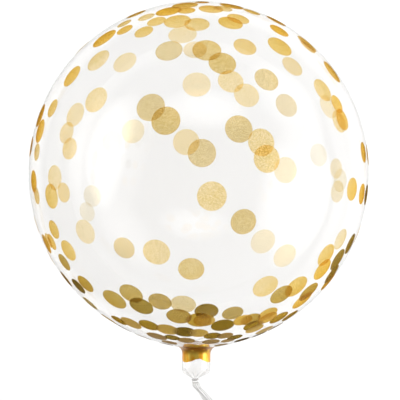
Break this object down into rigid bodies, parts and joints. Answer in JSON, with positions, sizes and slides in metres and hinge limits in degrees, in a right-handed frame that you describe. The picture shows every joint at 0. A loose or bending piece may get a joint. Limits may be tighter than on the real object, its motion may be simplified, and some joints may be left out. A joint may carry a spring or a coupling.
{
  "type": "clear bubble balloon",
  "caption": "Round clear film balloon, printed with gold dots, its neck gathered and tied and its tail left long; lies on its side.",
  "frame": {"origin": "middle of the flat spot on the underside of the film that the balloon rests on", "axes": "-Z out of the rest spot, Y along the neck with the neck and tail towards -Y, X across"},
  "size_m": [0.4008, 0.4956, 0.3989],
  "materials": {
    "clear_film": "gloss",
    "tie_thread": "gloss",
    "gold_print": "satin"
  },
  "bodies": {
    "root": {"bubble": "clear_film", "neck_tie": "tie_thread"}
  },
  "joints": []
}
